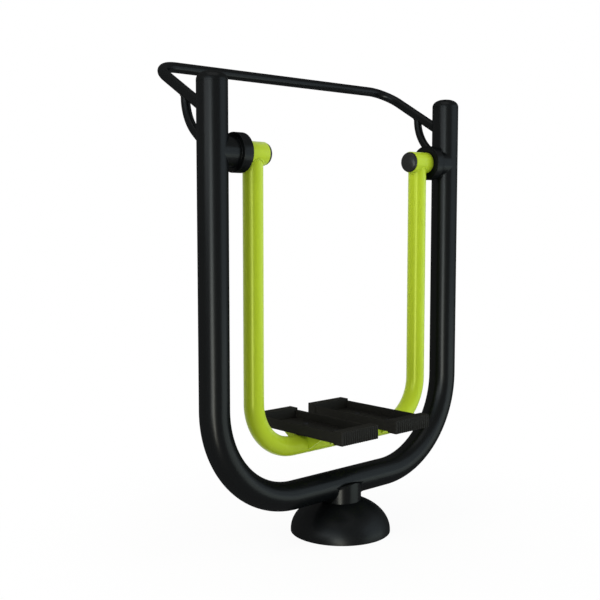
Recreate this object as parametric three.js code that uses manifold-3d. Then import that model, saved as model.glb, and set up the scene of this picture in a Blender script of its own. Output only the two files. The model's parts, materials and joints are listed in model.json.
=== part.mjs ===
// Outdoor air walker: two foot pedals on separate swinging arms hang inside a bent tube frame.
// Millimetres, +Z up. The origin is the centre of the base flange, on the ground.
// +X runs along the hub axis, and the handrail reaches out to +Y.
import * as THREE from "three";
import { mergeVertices } from "three/addons/utils/BufferGeometryUtils.js";
import Module from "manifold-3d";

const wasm = await Module();
wasm.setup();

// Fits
const seat_gap = 0.3; // between two pieces that touch
const cut_overrun = 5; // how far a cutting solid passes the faces it cuts
const merge_distance = 0.001;

// Frame tube: one tube bent to a U
const post_spacing = 1012; // between the two post axes
const post_diameter = 88.9;
const post_wall = 3;
const post_height = 1378; // ground to the open tube ends
const bottom_tube_height = 155; // ground to the axis of the level stretch
const frame_bend_radius = 303;

// Domed caps on the posts
const cap_lip = 4;
const cap_rise = 26;
const cap_wall = 3;
const cap_spigot_depth = 18;
const dome_power = 0.8; // below 1 the dome is fuller than a half ellipse

// Handrail with its two curved struts
const handrail_diameter = 32;
const handrail_wall = 2.5;
const handrail_reach = 286; // from the post axes to the crossbar axis
const handrail_height = 1455; // ground to the crossbar axis
const handrail_root_height = 1289; // where the arm axis meets the post axis
const handrail_bend_radius = 82;
const strut_diameter = 26.9;
const strut_wall = 2.3;
const strut_radius = 137.7;
const strut_reach = 124.4; // from the post axis to the strut's upper end
const strut_straight = 12; // straight run of the strut under the handrail arm
const strut_end_share = 0.45; // how deep the drawn strut reaches into the post before it is cut

// Neck, flange and cover of the foot
const neck_diameter = 133;
const neck_wall = 5;
const neck_plate_thickness = 5;
const weld_leg = 7.5;
const flange_diameter = 280;
const flange_thickness = 12;
const flange_hole_diameter = 18;
const flange_hole_circle = 220;
const rib_thickness = 6;
const rib_height = 58;
const rib_reach = 52; // from the neck outwards
const rib_tip = 10;
const cover_diameter = 320;
const cover_wall = 3;
const cover_rim = 5; // upright edge below the rounded part
const cover_rise = 107; // height of the full half ellipse above that edge
const cover_neck_clearance = 0.6;

// Axle housing and stop drum on each post
const hub_height = 1188;
const housing_length = 70; // post axis to the housing's end face
const housing_wall = 4;
const housing_boss_length = 19;
const drum_diameter = 115;
const drum_depth = 33;
const drum_wall = 4;
const drum_back = 6;
const drum_cover_thickness = 4;
const drum_cover_clearance = 1;

// Axle and what is on it
const axle_shoulder_diameter = 44;
const axle_thread_diameter = 24;
const axle_root_clearance = 3;
const axle_chamfer = 1.5;
const axle_thread_stop = 2; // from the first bearing's face
const axle_tip = 1.5; // thread beyond the nut
const nut_across_flats = 36;
const nut_thickness = 14;
const nut_flange_diameter = 44;
const nut_flange_thickness = 3;
const bearing_bore = 30;
const bearing_diameter = 62;
const bearing_width = 16;
const bearing_race_thickness = 4.2;
const bearing_shield_thickness = 1.2;
const bearing_shield_clearance = 0.6;

// Hub sleeve, stop lug and cap of each arm
const sleeve_diameter = 70;
const sleeve_length = 104;
const sleeve_running_clearance = 3;
const sleeve_shoulder = 3;
const sleeve_end_inset = 0.5; // outer bearing to the sleeve's end
const nut_room = 17.5; // sleeve's free end to the first bearing
const lug_height = 14;
const lug_side_clearance = 1.5;
const buffer_clearance = 3;
const hub_cap_diameter = 64;
const hub_cap_rise = 17;
const hub_cap_wall = 3;
const hub_cap_spigot_depth = 8;
const hub_cap_edge = 1.5;

// Swinging arms
const arm_tube_diameter = 60.3;
const arm_tube_wall = 3;
const arm_offset = 38; // arm axis from the sleeve's free end
const arm_tube_height = 310; // ground to the axis of the level stretch
const arm_bend_radius = 150;
const arm_tube_end = 38; // from the middle plane to the open end
const plug_rim = 4;
const plug_depth = 16;
const plug_wall = 3;

// Foot pedals
const pedal_inner = 39.5; // from the middle plane to the near side
const pedal_width = 156.5;
const pedal_length = 399.5;
const pedal_shift = -2.75; // middle of the pedal along Y
const pedal_wall = 5;
const pedal_wall_height = 30; // from the floor's underside
const pedal_wall_drop = 2.2; // side walls reach this far below the floor
const pedal_block_height = 42;
const pedal_block_drop = 5.5; // blocks reach this far below the floor
const pedal_block_length = 36;
const pedal_block_step = 2; // blocks stand out this far beyond the side walls
const pedal_floor_thickness = 3.5;
const pedal_corner_radius = 5;
const groove_depth = 2;
const groove_share = 0.45;

// Bracket and fasteners under each pedal
const bracket_thickness = 4;
const bracket_inset = 28.25; // from the pedal's sides
const bracket_half_length = 92;
const gusset_thickness = 6;
const gusset_foot = 30; // half width of a gusset at its lowest, beside the tube
const gusset_drop = 43.5;
const bolt_diameter = 8;
const bolt_hole_clearance = 0.5;
const bolt_head_diameter = 20;
const bolt_head_height = 4.5;
const bolt_head_edge = 1.2;
const bolt_recess_depth = 1; // in the pedal's floor, round each head
const bolt_recess_clearance = 1;
const bolt_crown_share = 0.7;
const bolt_end = 3; // thread beyond the weld nut
const bolt_spacing_x = 64;
const bolt_spacing_y = 140;
const weld_nut_across_flats = 14;
const weld_nut_thickness = 6.5;

// Angles in degrees, and the number of sides and steps of round shapes
const swing_limit = 45;
const lug_half_angle = 9;
const buffer_lead = 0.5;
const groove_count = 16;
const flange_hole_count = 4;
const hexagon_corners = 6;
const sides = { frame: 20, rail: 12, strut: 10, arm: 16, hub: 24, cover: 32, bolt: 8, hole: 12 };
const steps = { frame: 7, rail: 5, strut: 6, arm: 6, dome: 4, cover: 6, corner: 2, lug: 2, buffer: 12 };

// Places worked out from the sizes
const post_axis = post_spacing / 2;
const post_radius = post_diameter / 2;
const housing_end = post_axis - housing_length;
const drum_outer = housing_end - seat_gap;
const drum_mouth = drum_outer - drum_depth;
const drum_inside = drum_outer - drum_back;
const drum_bore_radius = drum_diameter / 2 - drum_wall;
const sleeve_outer = drum_inside - sleeve_running_clearance;
const sleeve_inner = sleeve_outer - sleeve_length;
const sleeve_radius = sleeve_diameter / 2;
const bearing_radius = bearing_diameter / 2;
const journal_radius = bearing_bore / 2 - seat_gap;
const outer_bearing = sleeve_outer - sleeve_end_inset - bearing_width;
const inner_bearing = sleeve_inner + nut_room;
const axle_shoulder = outer_bearing + bearing_width + seat_gap;
const nut_start = inner_bearing - seat_gap - nut_thickness;
const arm_axis = sleeve_inner + arm_offset;
const arm_radius = arm_tube_diameter / 2;
const bracket_base = arm_tube_height + arm_radius + seat_gap;
const bracket_top = bracket_base + bracket_thickness;
const floor_base = bracket_top + seat_gap;
const floor_top = floor_base + pedal_floor_thickness;
const wall_base = floor_base - pedal_wall_drop;
const pedal_base = floor_base - pedal_block_drop;
const pedal_outer = pedal_inner + pedal_width;
const pedal_centre = pedal_inner + pedal_width / 2;
const neck_radius = neck_diameter / 2;

// Finishes
const black_coat = new THREE.MeshStandardMaterial({ color: 0x17191a, roughness: 0.32, metalness: 0.0 });
const lime_coat = new THREE.MeshStandardMaterial({ color: 0xa8c62b, roughness: 0.35, metalness: 0.0 });
const black_plastic = new THREE.MeshStandardMaterial({ color: 0x1d1d1b, roughness: 0.62, metalness: 0.0 });
const black_rubber = new THREE.MeshStandardMaterial({ color: 0x151515, roughness: 0.85, metalness: 0.0 });
const bearing_steel = new THREE.MeshStandardMaterial({ color: 0xb9bcc0, roughness: 0.22, metalness: 1.0 });
const zinc_plate = new THREE.MeshStandardMaterial({ color: 0xaeb3b5, roughness: 0.38, metalness: 1.0 });
const black_zinc = new THREE.MeshStandardMaterial({ color: 0x1c1d1e, roughness: 0.55, metalness: 0.3 });

const walker = new THREE.Group();
const X = new THREE.Vector3(1, 0, 0);
const Y = new THREE.Vector3(0, 1, 0);
const Z = new THREE.Vector3(0, 0, 1);

// A geometry as a solid that can be joined and cut
function solid(geometry) {
  const bare = geometry.clone();
  bare.deleteAttribute("normal");
  bare.deleteAttribute("uv");
  const merged = mergeVertices(bare, merge_distance);
  const mesh = new wasm.Mesh({
    numProp: 3,
    vertProperties: merged.attributes.position.array,
    triVerts: new Uint32Array(merged.index.array),
  });
  return new wasm.Manifold(mesh);
}

function geometryOf(body) {
  const mesh = body.getMesh();
  const geometry = new THREE.BufferGeometry();
  geometry.setAttribute("position", new THREE.BufferAttribute(mesh.vertProperties, 3));
  geometry.setIndex(new THREE.BufferAttribute(mesh.triVerts, 1));
  geometry.computeVertexNormals();
  return geometry;
}

function add(group, name, body, finish) {
  const mesh = new THREE.Mesh(geometryOf(body), finish);
  mesh.name = name;
  group.add(mesh);
}

function joined(bodies) {
  return bodies.reduce((whole, body) => whole.add(body));
}

// Solid turned about a line along X, from [place along X, radius] pairs
function turned(profile, count = sides.hub, height = hub_height) {
  const points = profile.map(([place, radius]) => new THREE.Vector2(radius, place));
  const geometry = new THREE.LatheGeometry(points, count);
  geometry.rotateZ(-Math.PI / 2);
  geometry.translate(0, 0, height);
  return solid(geometry);
}

// Ring about the hub axis
function ring(start, end, inner, outer) {
  return turned([[start, outer], [end, outer], [end, inner], [start, inner], [start, outer]]);
}

// Solid turned about the Z axis, from [radius, height] pairs
function upright(profile, count) {
  const points = profile.map(([radius, height]) => new THREE.Vector2(radius, height));
  const geometry = new THREE.LatheGeometry(points, count);
  geometry.rotateX(Math.PI / 2);
  return solid(geometry);
}

// Round bar along a direction, grown so that its flats clear the given radius
function cutter(radius, from, to, count = sides.cover) {
  const axis = new THREE.Vector3().subVectors(to, from);
  const flat_radius = radius / Math.cos(Math.PI / count);
  const geometry = new THREE.CylinderGeometry(flat_radius, flat_radius, axis.length(), count);
  geometry.applyQuaternion(new THREE.Quaternion().setFromUnitVectors(Y, axis.clone().normalize()));
  const middle = new THREE.Vector3().addVectors(from, to).multiplyScalar(0.5);
  geometry.translate(middle.x, middle.y, middle.z);
  return solid(geometry);
}

function box(low, high) {
  const size = new THREE.Vector3().subVectors(high, low);
  const middle = new THREE.Vector3().addVectors(low, high).multiplyScalar(0.5);
  const geometry = new THREE.BoxGeometry(size.x, size.y, size.z);
  geometry.translate(middle.x, middle.y, middle.z);
  return solid(geometry);
}

// Points of a full circle or an arc about the origin, angles in radians
function arcPoints(radius, start, end, count, whole = false) {
  const last = whole ? count : count + 1;
  const at = (i) => start + ((end - start) * i) / count;
  return Array.from({ length: last }, (unused, i) => {
    return new THREE.Vector2(radius * Math.cos(at(i)), radius * Math.sin(at(i)));
  });
}

function circleShape(radius, count, bore = 0) {
  const shape = new THREE.Shape(arcPoints(radius, 0, 2 * Math.PI, count, true));
  if (bore > 0) {
    shape.holes.push(new THREE.Path(arcPoints(bore, 0, 2 * Math.PI, count, true)));
  }
  return shape;
}

// Flat shape drawn in Y and Z, made thick along X
function slabAlongX(shape, start, end, height) {
  const geometry = new THREE.ExtrudeGeometry(shape, { depth: end - start, bevelEnabled: false });
  geometry.applyMatrix4(new THREE.Matrix4().makeBasis(Y, Z, X));
  geometry.translate(start, 0, height);
  return solid(geometry);
}

// Flat shape drawn in X and Y, made thick along Z
function slabAlongZ(shape, start, end) {
  const geometry = new THREE.ExtrudeGeometry(shape, { depth: end - start, bevelEnabled: false });
  geometry.translate(0, 0, start);
  return solid(geometry);
}

// Part of a ring about the hub axis, angles in degrees from straight up
function sector(inner, outer, start_angle, end_angle, start, end, count) {
  const from = THREE.MathUtils.degToRad(90 - end_angle);
  const to = THREE.MathUtils.degToRad(90 - start_angle);
  const outline = [...arcPoints(outer, from, to, count), ...arcPoints(inner, to, from, count)];
  return slabAlongX(new THREE.Shape(outline), start, end, hub_height);
}

function hexagonShape(across_flats) {
  const corner = across_flats / 2 / Math.cos(Math.PI / hexagon_corners);
  return circleShape(corner, hexagon_corners);
}

// A path whose stations are given one by one, so straight runs need no steps
class Route extends THREE.Curve {
  constructor(stations) {
    super();
    this.stations = stations;
  }
  getPointAt(u) {
    return this.stations[Math.round(u * (this.stations.length - 1))].point.clone();
  }
  getTangentAt(u) {
    return this.stations[Math.round(u * (this.stations.length - 1))].tangent.clone();
  }
}

// Stations through the corners, each corner rounded to the bend radius
function bentRoute(corners, radius, count) {
  const first = corners[0];
  const last = corners[corners.length - 1];
  const heading = (a, b) => new THREE.Vector3().subVectors(b, a).normalize();
  const stations = [{ point: first, tangent: heading(first, corners[1]) }];
  for (let i = 1; i < corners.length - 1; i += 1) {
    const before = heading(corners[i - 1], corners[i]);
    const after = heading(corners[i], corners[i + 1]);
    const turn = before.angleTo(after);
    const setback = radius * Math.tan(turn / 2);
    const start = corners[i].clone().addScaledVector(before, -setback);
    const side = after.clone().addScaledVector(before, -after.dot(before)).normalize();
    for (let k = 0; k <= count; k += 1) {
      const angle = (turn * k) / count;
      const point = start.clone();
      point.addScaledVector(before, radius * Math.sin(angle));
      point.addScaledVector(side, radius * (1 - Math.cos(angle)));
      const tangent = before.clone().multiplyScalar(Math.cos(angle));
      tangent.addScaledVector(side, Math.sin(angle));
      stations.push({ point, tangent });
    }
  }
  stations.push({ point: last, tangent: heading(corners[corners.length - 2], last) });
  return stations;
}

// Hollow tube along a route
function tube(stations, diameter, wall, count) {
  const shape = circleShape(diameter / 2, count, diameter / 2 - wall);
  const options = { steps: stations.length - 1, extrudePath: new Route(stations), bevelEnabled: false };
  return solid(new THREE.ExtrudeGeometry(shape, options));
}

function place(x, y, z) {
  return new THREE.Vector3(x, y, z);
}

// Both posts and the level stretch of the frame, grown by the seat gap, for cutting what meets them
const level_cutter = cutter(
  post_radius + seat_gap,
  place(-post_axis, 0, bottom_tube_height),
  place(post_axis, 0, bottom_tube_height),
);

function postCutter(axis) {
  const top = handrail_height + cut_overrun;
  return cutter(post_radius + seat_gap, place(axis, 0, bottom_tube_height), place(axis, 0, top));
}

function frameTube() {
  const corners = [
    place(-post_axis, 0, post_height),
    place(-post_axis, 0, bottom_tube_height),
    place(post_axis, 0, bottom_tube_height),
    place(post_axis, 0, post_height),
  ];
  return tube(bentRoute(corners, frame_bend_radius, steps.frame), post_diameter, post_wall, sides.frame);
}

// Rounded cap with a hollow spigot that goes down into the post
function postCap() {
  const base = post_height + seat_gap;
  const top = base + cap_lip + cap_rise;
  const spigot = post_radius - post_wall - seat_gap;
  const bore = spigot - cap_wall;
  const dome = Array.from({ length: steps.dome }, (unused, i) => {
    const angle = (Math.PI / 2) * (i / steps.dome);
    return [post_radius * Math.cos(angle) ** dome_power, base + cap_lip + cap_rise * Math.sin(angle)];
  });
  const profile = [
    [spigot, base - cap_spigot_depth],
    [spigot, base],
    [post_radius, base],
    ...dome,
    [0, top],
    [0, top - cap_wall],
    [bore, base],
    [bore, base - cap_spigot_depth],
    [spigot, base - cap_spigot_depth],
  ];
  return upright(profile, sides.frame).translate([post_axis, 0, 0]);
}

function handrail() {
  const corners = [
    place(-post_axis, 0, handrail_root_height),
    place(-post_axis, handrail_reach, handrail_height),
    place(post_axis, handrail_reach, handrail_height),
    place(post_axis, 0, handrail_root_height),
  ];
  const rail = tube(
    bentRoute(corners, handrail_bend_radius, steps.rail), handrail_diameter, handrail_wall, sides.rail,
  );
  return rail.subtract(postCutter(-post_axis)).subtract(postCutter(post_axis));
}

// Curved strut from the underside of a handrail arm to the back of its post
function handrailStrut() {
  const slope = (handrail_height - handrail_root_height) / handrail_reach;
  const top = handrail_root_height + slope * strut_reach;
  const centre_y = strut_reach - strut_radius;
  const centre_z = top - strut_straight;
  const last_angle = Math.acos((post_radius * strut_end_share - centre_y) / strut_radius);
  const stations = [{ point: place(post_axis, strut_reach, top), tangent: place(0, 0, -1) }];
  for (let i = 0; i <= steps.strut; i += 1) {
    const angle = (last_angle * i) / steps.strut;
    const y = centre_y + strut_radius * Math.cos(angle);
    const z = centre_z - strut_radius * Math.sin(angle);
    stations.push({ point: place(post_axis, y, z), tangent: place(0, -Math.sin(angle), -Math.cos(angle)) });
  }
  const arm_cutter = cutter(
    handrail_diameter / 2 + seat_gap,
    place(post_axis, 0, handrail_root_height),
    place(post_axis, handrail_reach, handrail_height),
  );
  const strut = tube(stations, strut_diameter, strut_wall, sides.strut);
  return strut.subtract(arm_cutter).subtract(postCutter(post_axis));
}

// Neck with the weld metal in the corner between its outside and the frame tube
function neckPipe() {
  const inside = neck_radius - neck_wall;
  const pipe = slabAlongZ(
    circleShape(neck_radius, sides.cover, inside), flange_thickness + seat_gap, bottom_tube_height,
  );
  const low = bottom_tube_height - post_radius - weld_leg - cut_overrun;
  const around_neck = slabAlongZ(
    circleShape(neck_radius + weld_leg, sides.cover, inside + neck_wall / 2), low, bottom_tube_height,
  );
  const half = neck_radius + weld_leg + cut_overrun;
  const around_tube = cutter(
    post_radius + weld_leg,
    place(-half, 0, bottom_tube_height),
    place(half, 0, bottom_tube_height),
  );
  return pipe.add(around_neck.intersect(around_tube)).subtract(level_cutter);
}

// Plate that closes the neck's mouth on one side of the frame tube, direction 1 or -1 along Y
function neckPlate(direction) {
  const low = bottom_tube_height - neck_plate_thickness;
  const disc = slabAlongZ(
    circleShape(neck_radius - neck_wall - seat_gap, sides.cover), low, bottom_tube_height,
  );
  const far = direction * neck_radius;
  const half = box(
    place(-neck_radius, Math.min(0, far), low - cut_overrun),
    place(neck_radius, Math.max(0, far), bottom_tube_height + cut_overrun),
  );
  return disc.intersect(half).subtract(level_cutter);
}

function baseFlange() {
  const plate = circleShape(flange_diameter / 2, sides.cover);
  for (let i = 0; i < flange_hole_count; i += 1) {
    const angle = (2 * Math.PI * (i + 0.5)) / flange_hole_count;
    const x = (flange_hole_circle / 2) * Math.cos(angle);
    const y = (flange_hole_circle / 2) * Math.sin(angle);
    const hole = arcPoints(flange_hole_diameter / 2, 0, 2 * Math.PI, sides.hole, true);
    plate.holes.push(new THREE.Path(hole.map((point) => new THREE.Vector2(x + point.x, y + point.y))));
  }
  return slabAlongZ(plate, 0, flange_thickness);
}

// Upright rib between the flange and the neck, its number counting round from +X
function baseRib(number) {
  const foot = flange_thickness + seat_gap;
  const root = neck_radius + seat_gap;
  const outline = new THREE.Shape([
    new THREE.Vector2(root, foot),
    new THREE.Vector2(root + rib_reach, foot),
    new THREE.Vector2(root + rib_reach, foot + rib_tip),
    new THREE.Vector2(root + rib_tip, foot + rib_height),
    new THREE.Vector2(root, foot + rib_height),
  ]);
  const rib = new THREE.ExtrudeGeometry(outline, { depth: rib_thickness, bevelEnabled: false });
  rib.translate(0, 0, -rib_thickness / 2);
  rib.rotateX(Math.PI / 2);
  rib.rotateZ((2 * Math.PI * number) / flange_hole_count);
  return solid(rib);
}

// Thin rounded cover over the flange, open round the neck
function footCover() {
  const outer = cover_diameter / 2;
  const inner = outer - cover_wall;
  const mouth = neck_radius + cover_neck_clearance;
  const curve = (radius, rise) => Array.from({ length: steps.cover + 1 }, (unused, i) => {
    const angle = (Math.acos(mouth / radius) * i) / steps.cover;
    return [radius * Math.cos(angle), cover_rim + rise * Math.sin(angle)];
  });
  const profile = [
    [outer, 0],
    ...curve(outer, cover_rise),
    ...curve(inner, cover_rise - cover_wall).reverse(),
    [inner, 0],
    [outer, 0],
  ];
  return upright(profile, sides.cover);
}

// Stub of the same tube as the post, with a thick end that holds the axle
function axleHousing() {
  const boss_end = housing_end + housing_boss_length;
  const bore = axle_shoulder_diameter / 2 + seat_gap;
  const stub = turned([
    [housing_end, post_radius],
    [post_axis, post_radius],
    [post_axis, post_radius - housing_wall],
    [boss_end, post_radius - housing_wall],
    [boss_end, bore],
    [housing_end, bore],
    [housing_end, post_radius],
  ]);
  return stub.subtract(postCutter(post_axis));
}

function stopDrum() {
  const bore = axle_shoulder_diameter / 2 + seat_gap;
  return turned([
    [drum_mouth, drum_diameter / 2],
    [drum_outer, drum_diameter / 2],
    [drum_outer, bore],
    [drum_inside, bore],
    [drum_inside, drum_bore_radius],
    [drum_mouth, drum_bore_radius],
    [drum_mouth, drum_diameter / 2],
  ]);
}

function drumCoverRing() {
  const end = drum_mouth + drum_cover_thickness;
  return ring(drum_mouth, end, sleeve_radius + drum_cover_clearance, drum_bore_radius - seat_gap);
}

// C-shaped rubber moulding: the lug swings in its opening and meets its two ends
function stopBuffer() {
  const start = drum_mouth + drum_cover_thickness + seat_gap;
  const end = drum_inside - seat_gap;
  const inner = sleeve_radius + buffer_clearance;
  const outer = drum_bore_radius * Math.cos(Math.PI / sides.hub) - seat_gap;
  const near = swing_limit + lug_half_angle + buffer_lead;
  return sector(inner, outer, near, 360 - near, start, end, steps.buffer);
}

function axle() {
  const tip = nut_start - axle_tip;
  const thread = axle_thread_diameter / 2;
  const root = post_axis - post_radius - axle_root_clearance;
  return turned([
    [tip, 0],
    [tip, thread - axle_chamfer],
    [tip + axle_chamfer, thread],
    [inner_bearing + axle_thread_stop, thread],
    [inner_bearing + axle_thread_stop, journal_radius],
    [axle_shoulder, journal_radius],
    [axle_shoulder, axle_shoulder_diameter / 2],
    [root, axle_shoulder_diameter / 2],
    [root, 0],
  ]);
}

// Hexagon nut with a flange that bears on the inner ring
function axleNut() {
  const bore = axle_thread_diameter / 2 + seat_gap;
  const end = nut_start + nut_thickness;
  const hexagon = slabAlongX(hexagonShape(nut_across_flats), nut_start, end, hub_height);
  const flange = ring(end - nut_flange_thickness, end, bore, nut_flange_diameter / 2);
  return hexagon.subtract(ring(nut_start - cut_overrun, end + cut_overrun, 0, bore)).add(flange);
}

const inner_race_radius = bearing_bore / 2 + bearing_race_thickness;
const outer_race_radius = bearing_radius - bearing_race_thickness;

function bearingInnerRing(start) {
  return ring(start, start + bearing_width, bearing_bore / 2, inner_race_radius);
}

// Outer ring with the two shields that are pressed into it
function bearingOuterRing(start) {
  const end = start + bearing_width;
  const lip = inner_race_radius + bearing_shield_clearance;
  return turned([
    [start, bearing_radius],
    [end, bearing_radius],
    [end, lip],
    [end - bearing_shield_thickness, lip],
    [end - bearing_shield_thickness, outer_race_radius],
    [start + bearing_shield_thickness, outer_race_radius],
    [start + bearing_shield_thickness, lip],
    [start, lip],
    [start, bearing_radius],
  ]);
}

function bearingSpacer() {
  const start = inner_bearing + bearing_width + seat_gap;
  return ring(start, outer_bearing - seat_gap, bearing_bore / 2, inner_race_radius);
}

// Sleeve with a bearing seat at each end
function hubSleeve() {
  const seat = bearing_radius + seat_gap;
  const waist = bearing_radius - sleeve_shoulder;
  return turned([
    [sleeve_inner, sleeve_radius],
    [sleeve_outer, sleeve_radius],
    [sleeve_outer, seat],
    [outer_bearing - seat_gap, seat],
    [outer_bearing - seat_gap, waist],
    [inner_bearing + bearing_width + seat_gap, waist],
    [inner_bearing + bearing_width + seat_gap, seat],
    [sleeve_inner, seat],
    [sleeve_inner, sleeve_radius],
  ]);
}

function stopLug() {
  const start = drum_mouth + drum_cover_thickness + lug_side_clearance;
  const inner = sleeve_radius + seat_gap;
  const outer = sleeve_radius + lug_height;
  return sector(inner, outer, -lug_half_angle, lug_half_angle, start, sleeve_outer, steps.lug);
}

// Domed plastic cap pushed into the sleeve's free end
function hubCap() {
  const face = sleeve_inner - seat_gap;
  const edge = face - hub_cap_edge;
  const outer = hub_cap_diameter / 2;
  const spigot = bearing_radius - seat_gap;
  const bore = spigot - hub_cap_wall;
  const dome = Array.from({ length: steps.dome }, (unused, i) => {
    const angle = (Math.PI / 2) * ((i + 1) / steps.dome);
    return [edge - hub_cap_rise * Math.cos(angle), outer * Math.sin(angle)];
  });
  return turned([
    [edge - hub_cap_rise, 0],
    ...dome,
    [face, outer],
    [face, spigot],
    [face + hub_cap_spigot_depth, spigot],
    [face + hub_cap_spigot_depth, bore],
    [edge, bore],
    [edge - hub_cap_rise + hub_cap_wall, 0],
  ]);
}

function armTube() {
  const corners = [
    place(arm_axis, 0, hub_height),
    place(arm_axis, 0, arm_tube_height),
    place(arm_tube_end, 0, arm_tube_height),
  ];
  const stations = bentRoute(corners, arm_bend_radius, steps.arm);
  const sleeve_cutter = cutter(
    sleeve_radius + seat_gap,
    place(sleeve_inner - cut_overrun, 0, hub_height),
    place(sleeve_outer + cut_overrun, 0, hub_height),
  );
  return tube(stations, arm_tube_diameter, arm_tube_wall, sides.arm).subtract(sleeve_cutter);
}

// Plastic plug in the open end of the arm tube
function armPlug() {
  const face = arm_tube_end - seat_gap;
  const spigot = arm_radius - arm_tube_wall - seat_gap;
  const bore = spigot - plug_wall;
  const profile = [
    [face - plug_rim, 0],
    [face - plug_rim, arm_radius],
    [face, arm_radius],
    [face, spigot],
    [face + plug_depth, spigot],
    [face + plug_depth, bore],
    [face, bore],
    [face, 0],
  ];
  return turned(profile, sides.arm, arm_tube_height);
}

const bolt_places = {
  front_inner: [-1, -1],
  front_outer: [1, -1],
  back_inner: [-1, 1],
  back_outer: [1, 1],
};

// An extruded shape at one of the pedal's bolts
function atBolt(shape, [across, along], start, end) {
  const geometry = new THREE.ExtrudeGeometry(shape, { depth: end - start, bevelEnabled: false });
  geometry.translate(pedal_centre + (across * bolt_spacing_x) / 2, (along * bolt_spacing_y) / 2, start);
  return solid(geometry);
}

function boltHoles(radius, start, end) {
  const shape = circleShape(radius, sides.hole);
  return joined(Object.values(bolt_places).map((spot) => atBolt(shape, spot, start, end)));
}

// Plate on the arm tube with two gussets that straddle the tube and four weld nuts under it
function pedalBracket() {
  const start = pedal_inner + bracket_inset;
  const end = pedal_outer - bracket_inset;
  const middle = bracket_base + bracket_thickness / 2;
  const plate = box(
    place(start, -bracket_half_length, bracket_base),
    place(end, bracket_half_length, bracket_top),
  );
  const outline = new THREE.Shape([
    new THREE.Vector2(-gusset_foot, bracket_base - gusset_drop),
    new THREE.Vector2(gusset_foot, bracket_base - gusset_drop),
    new THREE.Vector2(bracket_half_length, bracket_base),
    new THREE.Vector2(bracket_half_length, middle),
    new THREE.Vector2(-bracket_half_length, middle),
    new THREE.Vector2(-bracket_half_length, bracket_base),
  ]);
  const gussets = [start, end - gusset_thickness].map((at) => {
    return slabAlongX(outline, at, at + gusset_thickness, 0);
  });
  const hexagon = hexagonShape(weld_nut_across_flats);
  const weld_nuts = Object.values(bolt_places).map((spot) => {
    return atBolt(hexagon, spot, bracket_base - weld_nut_thickness, middle);
  });
  const tube_cutter = cutter(
    arm_radius + seat_gap,
    place(start - cut_overrun, 0, arm_tube_height),
    place(end + cut_overrun, 0, arm_tube_height),
  );
  const low = bracket_base - weld_nut_thickness - cut_overrun;
  const holes = boltHoles(bolt_diameter / 2 + bolt_hole_clearance, low, bracket_top + cut_overrun);
  return joined([plate, ...gussets, ...weld_nuts]).subtract(tube_cutter).subtract(holes);
}

// Raised end of the pedal: square at the tray, rounded and grooved at the outside
function pedalBlock(turn) {
  const half = pedal_width / 2;
  const end = pedal_length / 2;
  const flat = half - pedal_corner_radius;
  const corner = (x, start) => arcPoints(pedal_corner_radius, start, start + Math.PI / 2, steps.corner)
    .map((point) => new THREE.Vector2(x + point.x, end - pedal_corner_radius + point.y));
  const pitch = (2 * flat) / groove_count;
  const grooves = Array.from({ length: groove_count }, (unused, i) => {
    const x = flat - pitch * (i + 0.5);
    const reach = (pitch * groove_share) / 2;
    return [
      new THREE.Vector2(x + reach, end),
      new THREE.Vector2(x, end - groove_depth),
      new THREE.Vector2(x - reach, end),
    ];
  }).flat();
  const shape = new THREE.Shape([
    new THREE.Vector2(-half, end - pedal_block_length),
    new THREE.Vector2(half, end - pedal_block_length),
    ...corner(flat, 0),
    ...grooves,
    ...corner(-flat, Math.PI / 2),
  ]);
  const block = new THREE.ExtrudeGeometry(shape, { depth: pedal_block_height, bevelEnabled: false });
  block.rotateZ(turn);
  block.translate(pedal_centre, pedal_shift, pedal_base);
  return solid(block);
}

// Moulded tray: low side walls, a floor, and a raised hollow block at each end
function footPedal() {
  const side = pedal_width / 2 - pedal_block_step;
  const tray = pedal_length / 2 - pedal_block_length;
  const end = pedal_length / 2 - groove_depth - pedal_wall;
  const block = (x_half, y_low, y_high, z_low, z_high) => box(
    place(pedal_centre - x_half, pedal_shift + y_low, z_low),
    place(pedal_centre + x_half, pedal_shift + y_high, z_high),
  );
  const body = joined([
    block(side, -tray - pedal_wall, tray + pedal_wall, wall_base, floor_base + pedal_wall_height),
    pedalBlock(0),
    pedalBlock(Math.PI),
  ]);
  const below = pedal_base - cut_overrun;
  const hollow = pedal_width / 2 - pedal_wall - pedal_block_step;
  const roof = pedal_base + pedal_block_height - pedal_wall;
  const above = pedal_base + pedal_block_height + cut_overrun;
  const recess = bolt_head_diameter / 2 + bolt_recess_clearance;
  return body
    .subtract(block(side - pedal_wall, -tray, tray, floor_top, above))
    .subtract(block(side - pedal_wall, -tray, tray, below, floor_base))
    .subtract(block(hollow, tray + pedal_wall, end, below, roof))
    .subtract(block(hollow, -end, -tray - pedal_wall, below, roof))
    .subtract(boltHoles(bolt_diameter / 2 + bolt_hole_clearance, below, above))
    .subtract(boltHoles(recess, floor_top - bolt_recess_depth, above));
}

// Flat-headed bolt, its head in a shallow recess of the pedal's floor, down into the bracket's weld nut
function pedalBolt([across, along]) {
  const seat = floor_top - bolt_recess_depth + seat_gap;
  const tip = bracket_base - weld_nut_thickness - bolt_end;
  const head = bolt_head_diameter / 2;
  const profile = [
    [0, tip],
    [bolt_diameter / 2, tip],
    [bolt_diameter / 2, seat],
    [head, seat],
    [head, seat + bolt_head_edge],
    [head * bolt_crown_share, seat + bolt_head_height],
    [0, seat + bolt_head_height],
  ];
  const x = pedal_centre + (across * bolt_spacing_x) / 2;
  const y = (along * bolt_spacing_y) / 2;
  return upright(profile, sides.bolt).translate([x, y, 0]);
}

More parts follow.
